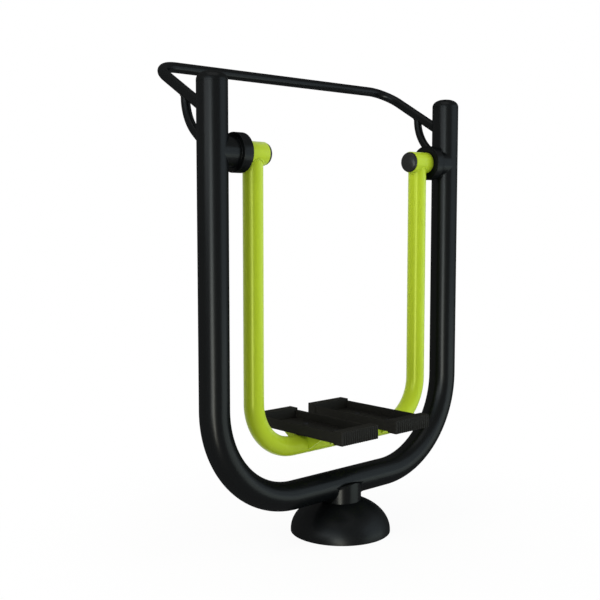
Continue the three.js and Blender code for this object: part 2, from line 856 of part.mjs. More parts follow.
add(walker, "frame_tube", frameTube(), black_coat);
add(walker, "handrail", handrail(), black_coat);
add(walker, "neck_pipe", neckPipe(), black_coat);
add(walker, "neck_plate_front", neckPlate(-1), black_coat);
add(walker, "neck_plate_back", neckPlate(1), black_coat);
add(walker, "base_flange", baseFlange(), black_coat);
for (let number = 0; number < flange_hole_count; number += 1) {
  add(walker, `base_rib_${number + 1}`, baseRib(number), black_coat);
}
add(walker, "foot_cover", footCover(), black_coat);

// Pieces that the two sides share as mirror images, drawn on the +X side
const fixed_pieces = [
  ["post_cap", postCap(), black_coat],
  ["handrail_strut", handrailStrut(), black_coat],
  ["axle_housing", axleHousing(), black_coat],
  ["stop_drum", stopDrum(), black_coat],
  ["drum_cover_ring", drumCoverRing(), black_coat],
  ["stop_buffer", stopBuffer(), black_rubber],
  ["axle", axle(), bearing_steel],
  ["axle_nut", axleNut(), zinc_plate],
  ["drum_end_bearing_inner_ring", bearingInnerRing(outer_bearing), bearing_steel],
  ["cap_end_bearing_inner_ring", bearingInnerRing(inner_bearing), bearing_steel],
  ["bearing_spacer", bearingSpacer(), zinc_plate],
];
const swinging_pieces = [
  ["drum_end_bearing_outer_ring", bearingOuterRing(outer_bearing), bearing_steel],
  ["cap_end_bearing_outer_ring", bearingOuterRing(inner_bearing), bearing_steel],
  ["hub_sleeve", hubSleeve(), lime_coat],
  ["stop_lug", stopLug(), lime_coat],
  ["hub_cap", hubCap(), black_plastic],
  ["arm_tube", armTube(), lime_coat],
  ["arm_plug", armPlug(), black_plastic],
  ["pedal_bracket", pedalBracket(), lime_coat],
  ["foot_pedal", footPedal(), black_plastic],
  ...Object.entries(bolt_places).map(([name, spot]) => [`pedal_bolt_${name}`, pedalBolt(spot), black_zinc]),
];
for (const [side, direction] of [["left", -1], ["right", 1]]) {
  const half = new THREE.Group();
  half.scale.x = direction;
  for (const [name, body, finish] of [...fixed_pieces, ...swinging_pieces]) {
    add(half, `${name}_${side}`, body, finish);
  }
  walker.add(half);
}

export default walker;
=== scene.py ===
import json
import math

import bpy
import numpy as np
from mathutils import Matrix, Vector

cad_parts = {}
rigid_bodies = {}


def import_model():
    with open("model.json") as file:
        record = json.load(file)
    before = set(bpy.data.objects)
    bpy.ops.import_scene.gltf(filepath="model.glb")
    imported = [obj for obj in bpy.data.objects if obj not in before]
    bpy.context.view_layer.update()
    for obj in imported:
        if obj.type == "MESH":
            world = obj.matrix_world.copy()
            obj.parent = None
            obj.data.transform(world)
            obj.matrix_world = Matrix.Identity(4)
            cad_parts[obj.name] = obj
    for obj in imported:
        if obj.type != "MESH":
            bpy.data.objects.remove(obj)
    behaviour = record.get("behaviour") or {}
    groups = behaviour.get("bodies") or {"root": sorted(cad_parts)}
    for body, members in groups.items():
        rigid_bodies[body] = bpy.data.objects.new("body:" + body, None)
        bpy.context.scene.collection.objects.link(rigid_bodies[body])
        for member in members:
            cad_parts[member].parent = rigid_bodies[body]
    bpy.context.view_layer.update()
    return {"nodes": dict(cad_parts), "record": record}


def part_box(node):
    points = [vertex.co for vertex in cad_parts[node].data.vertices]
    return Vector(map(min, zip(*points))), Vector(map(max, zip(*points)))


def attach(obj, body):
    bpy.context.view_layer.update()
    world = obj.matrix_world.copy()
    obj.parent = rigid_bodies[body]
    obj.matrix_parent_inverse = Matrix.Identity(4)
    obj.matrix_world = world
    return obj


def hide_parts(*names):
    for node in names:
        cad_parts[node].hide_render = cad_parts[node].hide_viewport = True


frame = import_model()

# Sizes read from the frame, in metres
X, Y, Z = np.eye(3)


def span(node, axis):
    """Lowest and highest place of a CAD node along one axis."""
    low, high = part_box(node)
    return low[axis], high[axis]


def half_span(node, axis):
    """Half of a CAD node's length along one axis."""
    low, high = span(node, axis)
    return (high - low) / 2


cap_near, cap_far = span("post_cap_right", 0)
post_radius = (cap_far - cap_near) / 2
post_axis = (cap_far + cap_near) / 2
crown_height = span("post_cap_right", 2)[1]
post_height = span("frame_tube", 2)[1]
level_height = span("frame_tube", 2)[0] + post_radius
drum_mouth, drum_back = span("stop_drum_right", 0)
drum_bottom, drum_top = span("stop_drum_right", 2)
drum_radius = (drum_top - drum_bottom) / 2
hub_height = (drum_top + drum_bottom) / 2
housing_end = span("axle_housing_right", 0)[0]
sleeve_inner, sleeve_outer = span("hub_sleeve_right", 0)
sleeve_radius = half_span("hub_sleeve_right", 2)
hub_cap_tip = span("hub_cap_right", 0)[0]
hub_cap_radius = half_span("hub_cap_right", 2)
arm_radius = span("arm_tube_right", 1)[1]
arm_level_height = span("arm_tube_right", 2)[0] + arm_radius
arm_end = span("arm_tube_right", 0)[0]
plug_face = span("arm_plug_right", 0)[0]
rail_radius = span("handrail", 0)[1] - post_axis
rail_reach = span("handrail", 1)[1] - rail_radius
rail_height = span("handrail", 2)[1] - rail_radius
cover_radius = span("foot_cover", 0)[1]
neck_radius = span("neck_pipe", 1)[1]
neck_foot = span("neck_pipe", 2)[0]
pedal_low, pedal_high = (np.array(corner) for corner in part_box("foot_pedal_right"))
plate_low, plate_high = (np.array(corner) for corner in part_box("pedal_bracket_right"))
bolt_low, bolt_high = (np.array(corner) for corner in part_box("pedal_bolt_front_inner_right"))
cover_ring_low, cover_ring_high = span("drum_cover_ring_right", 0)
cover_ring_radius = half_span("drum_cover_ring_right", 2)

# Sizes that no box gives, in metres, the same as the CAD's
seat_gap = 0.0003
frame_bend = 0.303
arm_bend = 0.150
rail_bend = 0.082
rail_root_height = 1.289
strut_radius = 0.01345
strut_bend = 0.1377
strut_reach = 0.1244
strut_straight = 0.012
strut_end_share = 0.45
arm_offset = 0.038
cover_rim = 0.005
cover_rise = 0.107
cover_wall = 0.003
cover_neck_clearance = 0.0006
cap_lip = 0.004
dome_power = 0.8
drum_wall = 0.004
drum_back_wall = 0.006
bracket_thickness = 0.004
gusset_thickness = 0.006
gusset_foot = 0.030
weld_nut_across_flats = 0.014
weld_nut_thickness = 0.0065
pedal_wall_height = 0.030
pedal_wall_drop = 0.0022
pedal_block_length = 0.036
pedal_block_step = 0.002
pedal_block_drop = 0.0055
pedal_wall = 0.005
pedal_floor = 0.0035
pedal_corner = 0.005
groove_count = 16
bolt_head_height = 0.0045
bolt_shank_radius = 0.004
bolt_spacing_x = 0.064
bolt_spacing_y = 0.140

# Small shapes that only the looks have, or have otherwise than the CAD: metres, radians and shares
crease_angle = math.radians(32)
pole_radius = 0.0005
edge_round = 0.0015
plate_ease = 0.0006
bead_radius = 0.0032
bead_pitch = 0.0045
bead_swell_share = 0.12
small_bead_share = 0.7
housing_fillet = 0.005
drum_fillet = 0.0015
housing_inset = 0.010
axle_hole_radius = 0.0223
cover_ring_clearance = 0.001
cover_ring_round = 0.0008
sleeve_bore_radius = 0.0313
sleeve_round = 0.0012
hub_cap_margin = 0.001
hub_cap_lip = 0.003
hub_cap_spigot_radius = 0.0307
hub_cap_spigot_depth = 0.008
plug_pole_radius = 0.0004
plug_round = 0.0025
plug_inset = 0.0035
plug_depth = 0.014
bracket_corner = 0.006
gusset_overlap = 0.002
weld_nut_overlap = 0.001
pedal_ease = 0.0012
slight_ease = 0.3 * pedal_ease  # of the ring half way round an eased edge
under_ease = 0.6 * pedal_ease  # the smaller ease of the tray's lower edge
tray_corner = 0.003
tray_overlap = 0.002
groove_depth = 0.0043
groove_share = 0.62
groove_power = 0.6
tread_rib_pitch = 0.012
tread_rib_height = 0.0012
tread_rib_inset = 0.004
tread_rib_root = 0.0005
bolt_crown = [  # radius, and height above the seat
    (0.0100, 0.0),
    (0.0100, 0.0010),
    (0.0094, 0.0021),
    (0.0082, 0.0032),
    (0.0064, 0.0041),
    (0.0046, 0.0045),
]
socket_radius = 0.0030
socket_depth = 0.0024
socket_lead = 0.0003
socket_lead_share = 1.12
cover_edge_round = 0.0008
neck_lip = 0.012
plate_angle = 0.19
shoulder_reach = 0.026
shoulder_leg = 0.012
shoulder_sink = 0.004


# Points and surfaces
def unit(vector):
    """A vector divided by its length."""
    return vector / np.linalg.norm(vector, axis=-1, keepdims=True)


def bent_path(corners, bend_radius, bend_steps=28):
    """Centre line through the corners: straight runs, with an arc tangent to both runs for each corner."""
    corners = np.asarray(corners, float)
    headings = unit(np.diff(corners, axis=0))
    points, tangents = [corners[:1]], [headings[:1]]
    for corner, before, after in zip(corners[1:-1], headings[:-1], headings[1:]):
        turn = math.acos(np.dot(before, after))
        side = unit(after - before * np.dot(before, after))
        angle = np.linspace(0, turn, bend_steps + 1)[:, None]
        start = corner - before * bend_radius * math.tan(turn / 2)
        points.append(start + bend_radius * (np.sin(angle) * before + (1 - np.cos(angle)) * side))
        tangents.append(np.cos(angle) * before + np.sin(angle) * side)
    points.append(corners[-1:])
    tangents.append(headings[-1:])
    return np.concatenate(points), np.concatenate(tangents)


def tube_grid(points, tangents, flat_normal, radius, around=64):
    """Circles along a centre line that lies in one plane: at the angle a round the tube,
    centre + radius (cos a normal + sin a (tangent x normal))."""
    angle = np.linspace(0, 2 * math.pi, around, endpoint=False)[None, :, None]
    across = np.cross(tangents, flat_normal)[:, None, :]
    return points[:, None, :] + radius * (np.cos(angle) * flat_normal + np.sin(angle) * across)


def turned_grid(profile, centre, axis, around=72):
    """A profile of (place along the axis, radius) turned about the axis through the centre."""
    profile = np.asarray(profile, float)
    first = Y if abs(axis[1]) < 0.5 else X
    second = np.cross(axis, first)
    angle = np.linspace(0, 2 * math.pi, around, endpoint=False)[None, :, None]
    place = profile[:, 0, None, None]
    radius = profile[:, 1, None, None]
    return centre + place * axis + radius * (np.cos(angle) * first + np.sin(angle) * second)


def rounded(corners, fillet, steps=4, loop=False):
    """A flat polyline with an arc of the fillet radius for each corner, smaller where a run is short.

    The arc's points are weights of its two ends: sin((1 - s) turn) and sin(s turn), over sin(turn)."""
    nearly_straight = math.radians(88)
    longest_setback = 0.45  # of a run, so that two arcs on it never meet
    corners = np.asarray(corners, float)
    count = len(corners)
    points = []
    for i, corner in enumerate(corners):
        if not loop and i in (0, count - 1):
            points.append(corner[None])
            continue
        back = corners[i - 1] - corner
        ahead = corners[(i + 1) % count] - corner
        back_length, ahead_length = np.linalg.norm(back), np.linalg.norm(ahead)
        back, ahead = back / back_length, ahead / ahead_length
        half = math.acos(np.clip(np.dot(back, ahead), -1, 1)) / 2
        if half > nearly_straight:
            points.append(corner[None])
            continue
        setback = min(fillet / math.tan(half), longest_setback * back_length, longest_setback * ahead_length)
        radius = setback * math.tan(half)
        centre = corner + unit(back + ahead) * radius / math.sin(half)
        start = corner + back * setback - centre
        end = corner + ahead * setback - centre
        share = np.linspace(0, 1, steps + 1)[:, None]
        turn = math.pi - 2 * half
        arc = (np.sin((1 - share) * turn) * start + np.sin(share * turn) * end) / math.sin(turn)
        points.append(centre + arc)
    return np.concatenate(points)


def slid_to_cylinder(ring, heading, centre, axis, radius):
    """Each point of a ring moved along the heading to where its line first meets a cylinder."""
    offset = ring - centre
    offset = offset - (offset @ axis)[:, None] * axis
    drift = heading - np.dot(heading, axis) * axis
    a = np.dot(drift, drift)
    b = offset @ drift
    c = np.sum(offset**2, axis=1) - radius**2
    distance = (-b - np.sqrt(np.maximum(b * b - a * c, 0))) / a
    return ring + distance[:, None] * heading


def skin(grid, loop=False):
    """Closed surface over a grid of points [along, around]: one face closes each end,
    unless the grid comes back to its start along as well as around."""
    rows, columns = grid.shape[:2]
    index = np.arange(rows * columns).reshape(rows, columns)
    lower = index if loop else index[:-1]
    upper = np.roll(index, -1, axis=0) if loop else index[1:]
    quads = np.stack([lower, np.roll(lower, -1, 1), np.roll(upper, -1, 1), upper], -1).reshape(-1, 4)
    return grid.reshape(-1, 3), quads, [] if loop else [index[0][::-1], index[-1]]


def volume(points, quads, ends):
    """Signed volume under a closed surface: positive when its faces point out."""
    fans = [np.stack([np.full(len(end) - 2, end[0]), end[1:-1], end[2:]], -1) for end in ends]
    halves = np.concatenate([quads[:, [0, 1, 2]], quads[:, [0, 2, 3]], *fans])
    a, b, c = (points[halves[:, k]] for k in range(3))
    return np.sum(a * np.cross(b, c)) / 6


def piece(name, shells, finish, body, replaced=(), sign=1):
    """One object from closed shells, mirrored in X where sign is -1, its faces turned to point out."""
    points, faces, count = [], [], 0
    for shell_points, quads, ends in shells:
        placed = shell_points * (sign, 1, 1)
        step = 1 if volume(placed, quads, ends) > 0 else -1
        points.append(placed)
        faces += (quads[:, ::step] + count).tolist() + [(end[::step] + count).tolist() for end in ends]
        count += len(placed)
    mesh = bpy.data.meshes.new(name)
    mesh.from_pydata(np.concatenate(points).tolist(), [], faces)
    mesh.shade_smooth()
    mesh.set_sharp_from_angle(angle=crease_angle)
    mesh.materials.append(finish)
    made = bpy.data.objects.new(name, mesh)
    bpy.context.scene.collection.objects.link(made)
    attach(made, body)
    if replaced:
        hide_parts(*replaced)
    return made


def bead(joint, reference, radius=bead_radius, around=10):
    """Weld bead round a closed joint line: a thin tube whose radius swells as a cosine, once a pitch."""
    fewest_ripples, points_a_ripple = 8, 6
    step = np.roll(joint, -1, axis=0) - joint
    lengths = np.linalg.norm(step, axis=1)
    total = lengths.sum()
    ripples = max(fewest_ripples, round(total / bead_pitch))
    count = ripples * points_a_ripple
    marks = np.concatenate([[0], np.cumsum(lengths)])
    closed = np.concatenate([joint, joint[:1]])
    along = np.linspace(0, total, count, endpoint=False)
    line = np.stack([np.interp(along, marks, closed[:, k]) for k in range(3)], -1)
    tangent = unit(np.roll(line, -1, axis=0) - np.roll(line, 1, axis=0))
    first = unit(reference - (tangent @ reference)[:, None] * tangent)
    second = np.cross(tangent, first)
    angle = np.linspace(0, 2 * math.pi, around, endpoint=False)[None, :, None]
    swell = radius * (1 + bead_swell_share * np.cos(2 * math.pi * ripples * along / total))
    spoke = np.cos(angle) * first[:, None] + np.sin(angle) * second[:, None]
    return skin(line[:, None] + swell[:, None, None] * spoke, loop=True)


# Finishes
def linear(hex_colour):
    """An sRGB hex colour as the linear one that shaders take."""
    channels = [int(hex_colour[k : k + 2], 16) / 255 for k in (1, 3, 5)]
    return [c / 12.92 if c <= 0.04045 else ((c + 0.055) / 1.055) ** 2.4 for c in channels] + [1.0]


def add_node(tree, kind, settings=None, links=None):
    """A node with its settings, by attribute or by input name, and links from other nodes' outputs,
    by input name or by the input's place where two share a name."""
    node = tree.nodes.new(kind)
    for name, value in (settings or {}).items():
        if name in node.inputs:
            node.inputs[name].default_value = value
        else:
            setattr(node, name, value)
    for name, output in (links or {}).items():
        tree.links.new(output, node.inputs[name])
    return node


def new_material(name):
    """A material with an empty node tree."""
    material = bpy.data.materials.new(name)
    material.use_nodes = True
    material.node_tree.nodes.clear()
    return material


# Blotches of tone about 110 mm across, and how far the roughness drifts with them
cloud_scale = 9.0
cloud_detail = 3.0
cloud_low, cloud_high = 0.3, 0.7
roughness_drift = 0.03
grain_detail = 2.0
mark_drift = 0.08
# The thin gloss has a high IOR and a low weight: soft highlights on what faces the viewer, and little of the
# white backdrop along the edges
gloss_ior = 2.5
gloss_tint = "#f7ff38"
# Noise scale per metre and height in metres of each surface's grain. The orange peel of powder coat is drawn
# about 4 mm across, the grain of mouldings and plating 1 to 2 mm: coarser than real, or it would not show.
powder_peel = (260.0, 0.00002)
moulded_grain = (620.0, 0.00001)
rubber_grain = (500.0, 0.00004)
plated_grain = (900.0, 0.00003)


def coated(name, colour, deep_colour, roughness, gloss_coat, grain, tinted_gloss=0.0):
    """A sprayed or moulded surface: two close tones in slow clouds, roughness that drifts with them,
    a fine grain that lifts the surface by a fraction of a millimetre, and a thin gloss over all."""
    material = new_material(name)
    tree = material.node_tree
    place = add_node(tree, "ShaderNodeTexCoord").outputs["Object"]
    clouds = add_node(
        tree,
        "ShaderNodeTexNoise",
        {"Scale": cloud_scale, "Detail": cloud_detail, "Roughness": 0.5},
        {"Vector": place},
    ).outputs["Fac"]
    tone = add_node(tree, "ShaderNodeMix", {"data_type": "RGBA"})
    factor, first_colour, second_colour = tone.inputs[0], tone.inputs[6], tone.inputs[7]
    first_colour.default_value = linear(deep_colour)
    second_colour.default_value = linear(colour)
    tree.links.new(clouds, factor)
    gloss = add_node(
        tree,
        "ShaderNodeMapRange",
        {
            "From Min": cloud_low,
            "From Max": cloud_high,
            "To Min": roughness - roughness_drift,
            "To Max": roughness + roughness_drift,
        },
        {"Value": clouds},
    ).outputs["Result"]
    grain_scale, grain_height = grain
    height = add_node(
        tree,
        "ShaderNodeTexNoise",
        {"Scale": grain_scale, "Detail": grain_detail, "Roughness": 0.5},
        {"Vector": place},
    ).outputs["Fac"]
    bump = add_node(
        tree, "ShaderNodeBump", {"Strength": 1.0, "Distance": grain_height}, {"Height": height}
    ).outputs["Normal"]
    shader = add_node(
        tree,
        "ShaderNodeBsdfPrincipled",
        {
            "Specular IOR Level": tinted_gloss,
            "Specular Tint": linear(gloss_tint),
            "Coat Weight": gloss_coat,
            "Coat IOR": gloss_ior,
            "Coat Roughness": roughness,
        },
        {"Base Color": tone.outputs[2], "Roughness": gloss, "Normal": bump, "Coat Normal": bump},
    )
    add_node(tree, "ShaderNodeOutputMaterial", {}, {"Surface": shader.outputs["BSDF"]})
    return material


def ground_metal(name, colour, roughness, mark_scale):
    """Bare or plated metal: one tone, with fine turning marks that break its gloss."""
    material = new_material(name)
    tree = material.node_tree
    place = add_node(tree, "ShaderNodeTexCoord").outputs["Object"]
    marks = add_node(
        tree, "ShaderNodeTexNoise", {"Scale": mark_scale, "Detail": grain_detail}, {"Vector": place}
    ).outputs["Fac"]
    gloss = add_node(
        tree,
        "ShaderNodeMapRange",
        {"To Min": roughness - mark_drift, "To Max": roughness + mark_drift},
        {"Value": marks},
    ).outputs["Result"]
    settings = {"Base Color": linear(colour), "Metallic": 1.0}
    shader = add_node(tree, "ShaderNodeBsdfPrincipled", settings, {"Roughness": gloss})
    add_node(tree, "ShaderNodeOutputMaterial", {}, {"Surface": shader.outputs["BSDF"]})
    return material


# Black polyester powder coat, sprayed and baked: near black, with soft highlights and a slight orange peel.
black_coat = coated(
    "black_polyester_powder_coat", "#0d0f10", "#0a0c0d", roughness=0.27, gloss_coat=0.027, grain=powder_peel
)
# The same black coat on the cover of the foot, where scuffs from shoes and grit have dulled it.
cover_coat = coated(
    "black_polyester_powder_coat_dulled",
    "#0d0f10",
    "#0a0c0d",
    roughness=0.36,
    gloss_coat=0.027,
    grain=powder_peel,
)
# Lime polyester powder coat, sprayed and baked: an even strong yellow green, its gloss tinted, the same peel.
lime_coat = coated(
    "lime_polyester_powder_coat",
    "#b5cc30",
    "#adc52a",
    roughness=0.28,
    gloss_coat=0.027,
    grain=powder_peel,
    tinted_gloss=0.2,
)
# Injection-moulded black polypropylene with a spark-eroded grain: matt, with hardly any highlight.
black_plastic = coated(
    "black_moulded_polypropylene", "#242422", "#1f1f1d", roughness=0.50, gloss_coat=0.012, grain=moulded_grain
)
# The same plastic with a smooth moulded face on the caps and plugs: a soft highlight.
cap_plastic = coated(
    "black_moulded_polypropylene_smooth",
    "#1f2020",
    "#1a1b1b",
    roughness=0.38,
    gloss_coat=0.055,
    grain=moulded_grain,
)
# Moulded black rubber: dull, with no clear highlight.
black_rubber = coated(
    "black_moulded_rubber", "#181818", "#131313", roughness=0.85, gloss_coat=0.02, grain=rubber_grain
)
# Black passivated zinc on the pedal bolts: a dark sheen, a little brighter than the plastic round them.
black_zinc = coated(
    "black_passivated_zinc", "#17181a", "#121315", roughness=0.45, gloss_coat=0.045, grain=plated_grain
)
# Ground bearing steel: bright and fairly sharp, its marks about 1 mm apart.
bearing_steel = ground_metal("ground_bearing_steel", "#c4c6c9", roughness=0.26, mark_scale=900.0)
# Zinc-plated steel: paler and softer than bare steel.
zinc_plate = ground_metal("zinc_plated_steel", "#b9bdc0", roughness=0.38, mark_scale=700.0)

slot_finish = {
    "black_powder_coat": black_coat,
    "lime_powder_coat": lime_coat,
    "black_moulded_plastic": black_plastic,
    "black_rubber": black_rubber,
    "bearing_steel": bearing_steel,
    "zinc_plated_steel": zinc_plate,
    "black_zinc_plated_steel": black_zinc,
}
for part in frame["record"]["subparts"]:
    mesh = frame["nodes"][part["node"]].data
    mesh.materials.clear()
    mesh.materials.append(slot_finish[part["material_slot"]])


# Frame and handrail
def frame_shells():
    """One tube along the U of the frame, its ends under the caps."""
    corners = [
        (-post_axis, 0, post_height),
        (-post_axis, 0, level_height),
        (post_axis, 0, level_height),
        (post_axis, 0, post_height),
    ]
    points, tangents = bent_path(corners, frame_bend, bend_steps=48)
    return [skin(tube_grid(points, tangents, Y, post_radius, around=96))]


def cap_shells():
    """Rounded cap: a short upright lip, then radius falling as a power of the cosine
    while height climbs as the sine."""
    base = post_height + seat_gap
    climb = crown_height - base - cap_lip
    angle = np.linspace(0, math.pi / 2, 16)[:-1]
    dome = np.stack([base + cap_lip + climb * np.sin(angle), post_radius * np.cos(angle) ** dome_power], -1)
    profile = np.concatenate([[[base, post_radius]], dome, [[crown_height, pole_radius]]])
    return [skin(turned_grid(profile, np.array([post_axis, 0, 0]), Z))]


def rail_shells():
    """Handrail tube, each end brought to the face of its post."""
    corners = [
        (-post_axis, 0, rail_root_height),
        (-post_axis, rail_reach, rail_height),
        (post_axis, rail_reach, rail_height),
        (post_axis, 0, rail_root_height),
    ]
    points, tangents = bent_path(corners, rail_bend)
    normal = np.cross(tangents[0], X)
    grid = tube_grid(points, tangents, normal, rail_radius, around=48)
    start = np.array([-post_axis, 0, 0])
    grid[0] = slid_to_cylinder(grid[0] + tangents[0], -tangents[0], start, Z, post_radius - seat_gap)
    grid[-1] = slid_to_cylinder(grid[-1] - tangents[-1], tangents[-1], -start, Z, post_radius - seat_gap)
    beads = [bead(grid[0], tangents[0]), bead(grid[-1], tangents[-1])]
    return [skin(grid)] + beads


def strut_shells():
    """Curved strut: a straight drop from the handrail's arm, then an arc to the back of the post.

    The arc runs on into the post. The circles near or in it are dropped, and a last one is slid to it."""
    run_up = 0.1  # the first circle starts this far below the handrail's arm, and is slid up to it
    arm_heading = unit(np.array([0, rail_reach, rail_height - rail_root_height]))
    top = rail_root_height + strut_reach * arm_heading[2] / arm_heading[1]
    centre = np.array([post_axis, strut_reach - strut_bend, top - strut_straight])
    last = math.acos((post_radius * strut_end_share - centre[1]) / strut_bend)
    angle = np.linspace(0, last, 28)[:, None]
    arc = centre + strut_bend * (np.cos(angle) * Y - np.sin(angle) * Z)
    points = np.concatenate([[[post_axis, strut_reach, top]], arc])
    tangents = np.concatenate([[-Z], -np.sin(angle) * Y - np.cos(angle) * Z])
    grid = tube_grid(points, tangents, X, strut_radius, around=40)
    root = np.array([post_axis, 0, rail_root_height])
    grid[0] = slid_to_cylinder(grid[0] - run_up * Z, Z, root, arm_heading, rail_radius - seat_gap)
    back = np.array([post_axis, 0, 0])
    outside = np.hypot(points[:, 0] - post_axis, points[:, 1]) > post_radius + 2 * strut_radius
    kept = grid[outside]
    heading = tangents[outside][-1]
    foot = slid_to_cylinder(kept[-1], heading, back, Z, post_radius - seat_gap)
    kept = np.concatenate([kept, foot[None]])
    small_bead = small_bead_share * bead_radius
    return [skin(kept), bead(kept[0], -Z, small_bead), bead(foot, heading, small_bead)]


# Hub on each post
def along_hub(profile, fillet=edge_round, loop=True, around=96):
    """A rounded profile turned about the hub axis."""
    shape = rounded(profile, fillet, loop=loop)
    return skin(turned_grid(shape, np.array([0, 0, hub_height]), X, around), loop)


def housing_shells():
    """Stub of the post's own tube with a concave fillet of weld metal at each end.

    At the angle a from level the fillet to the post is a quadratic curve that leaves the stub |sin a| legs
    before the joint line and lands on the post as far above or below it, so that it fades out where the tubes
    are tangent. The fillet to the drum is the same curve with one leg all round."""
    angle = np.linspace(0, 2 * math.pi, 96, endpoint=False)
    circle = post_radius * (np.cos(angle)[:, None] * Y + np.sin(angle)[:, None] * Z)
    start = circle + np.array([housing_end, 0, hub_height])
    end = slid_to_cylinder(start, X, np.array([post_axis, 0, 0]), Z, post_radius - seat_gap)
    rise = np.sin(angle)[:, None]
    low = end - housing_fillet * np.abs(rise) * X
    high = end + housing_fillet * rise * Z
    share = np.linspace(0, 1, 9)[:, None, None]

    def quadratic(first, middle, last):
        return (1 - share) ** 2 * first + 2 * share * (1 - share) * middle + share**2 * last

    collar = start - seat_gap * X
    flare = circle * drum_fillet / post_radius
    foot = quadratic(collar + flare, collar, collar + drum_fillet * X)
    middle = 0.5 * (start + drum_fillet * X + low)
    fillet = quadratic(low, end, high)
    inside = 0.5 * high + 0.5 * np.array([post_axis - housing_inset, 0, hub_height])
    return [skin(np.concatenate([foot, middle[None], fillet, inside[None]]))]


def drum_shells():
    """Drum with rounded edges: its wall, and a back plate with a hole for the axle."""
    profile = [
        (drum_mouth, drum_radius),
        (drum_back, drum_radius),
        (drum_back, axle_hole_radius),
        (drum_back - drum_back_wall, axle_hole_radius),
        (drum_back - drum_back_wall, drum_radius - drum_wall),
        (drum_mouth, drum_radius - drum_wall),
    ]
    return [along_hub(profile)]


def cover_ring_shells():
    """Flat ring in the drum's mouth, a little below its lip, round the sleeve."""
    inner = sleeve_radius + cover_ring_clearance
    profile = [
        (cover_ring_low, cover_ring_radius),
        (cover_ring_high, cover_ring_radius),
        (cover_ring_high, inner),
        (cover_ring_low, inner),
    ]
    return [along_hub(profile, cover_ring_round)]


def sleeve_shells():
    """Plain sleeve with eased ends, open at both."""
    profile = [
        (sleeve_inner, sleeve_radius),
        (sleeve_outer, sleeve_radius),
        (sleeve_outer, sleeve_bore_radius),
        (sleeve_inner, sleeve_bore_radius),
    ]
    return [along_hub(profile, sleeve_round)]


def hub_cap_shells():
    """Push-in cap: a spigot and a short lip, then a low dome whose height falls as the cosine
    while its radius grows as the sine."""
    face = sleeve_inner - seat_gap
    edge = face - hub_cap_lip
    rise = edge - hub_cap_tip
    radius = hub_cap_radius + hub_cap_margin
    first_angle = 0.02  # a little off the axis, where one small face closes the dome
    angle = np.linspace(first_angle, math.pi / 2, 20)
    dome = np.stack([edge - rise * np.cos(angle), radius * np.sin(angle)], -1)
    spigot_end = face + hub_cap_spigot_depth
    inner = [[face, radius], [face, hub_cap_spigot_radius], [spigot_end, hub_cap_spigot_radius]]
    return [skin(turned_grid(np.concatenate([dome, inner]), np.array([0, 0, hub_height]), X))]


# Swinging arm
def arm_shells():
    """Arm tube down from the sleeve, round one bend and level to the plug, with a bead round the sleeve."""
    run_up = 0.3  # the first circle starts this far below the hub, and is slid up to the sleeve
    axis_x = sleeve_inner + arm_offset
    corners = [(axis_x, 0, hub_height), (axis_x, 0, arm_level_height), (arm_end, 0, arm_level_height)]
    points, tangents = bent_path(corners, arm_bend, bend_steps=40)
    grid = tube_grid(points, tangents, Y, arm_radius, around=80)
    hub = np.array([0, 0, hub_height])
    grid[0] = slid_to_cylinder(grid[0] - run_up * Z, Z, hub, X, sleeve_radius - seat_gap)
    return [skin(grid), bead(grid[0], -Z)]


def plug_shells():
    """Flat-faced plug with a rounded rim in the arm tube's open end."""
    seat = arm_end - seat_gap
    face = [(plug_face, plug_pole_radius), (plug_face, arm_radius), (seat, arm_radius)]
    inner = arm_radius - plug_inset
    spigot = [[seat, inner], [arm_end + plug_depth, inner]]
    profile = np.concatenate([rounded(face, plug_round, steps=6), spigot])
    return [skin(turned_grid(profile, np.array([0, 0, arm_level_height]), X))]


# Pedal bracket
def slab(outline, low, high, axis, ease=plate_ease):
    """A flat outline made thick along X or Z, its two faces drawn in by the ease at their edges.

    Each point moves in along the sum of its two edges' normals, so that both edges move by the ease."""
    sharpest = 0.3  # lower limit of the divisor, so that the points of sharp corners don't move too far
    outline = np.asarray(outline, float)
    ahead = np.roll(outline, -1, axis=0) - outline
    behind = outline - np.roll(outline, 1, axis=0)

    def normal(run):
        return unit(np.stack([run[:, 1], -run[:, 0]], -1))

    def placed(ring, at):
        level = np.full(len(ring), at)
        columns = [level, ring[:, 0], ring[:, 1]] if axis == "x" else [ring[:, 0], ring[:, 1], level]
        return np.stack(columns, -1)

    outward = normal(ahead) + normal(behind)
    outward = outward / np.maximum(np.sum(outward * normal(ahead), axis=1, keepdims=True), sharpest)
    area = np.sum(outline[:, 0] * np.roll(outline[:, 1], -1) - outline[:, 1] * np.roll(outline[:, 0], -1))
    inset = outline - outward * ease * np.sign(area)
    rings = [(inset, low), (outline, low + ease), (outline, high - ease), (inset, high)]
    return skin(np.stack([placed(ring, at) for ring, at in rings]))


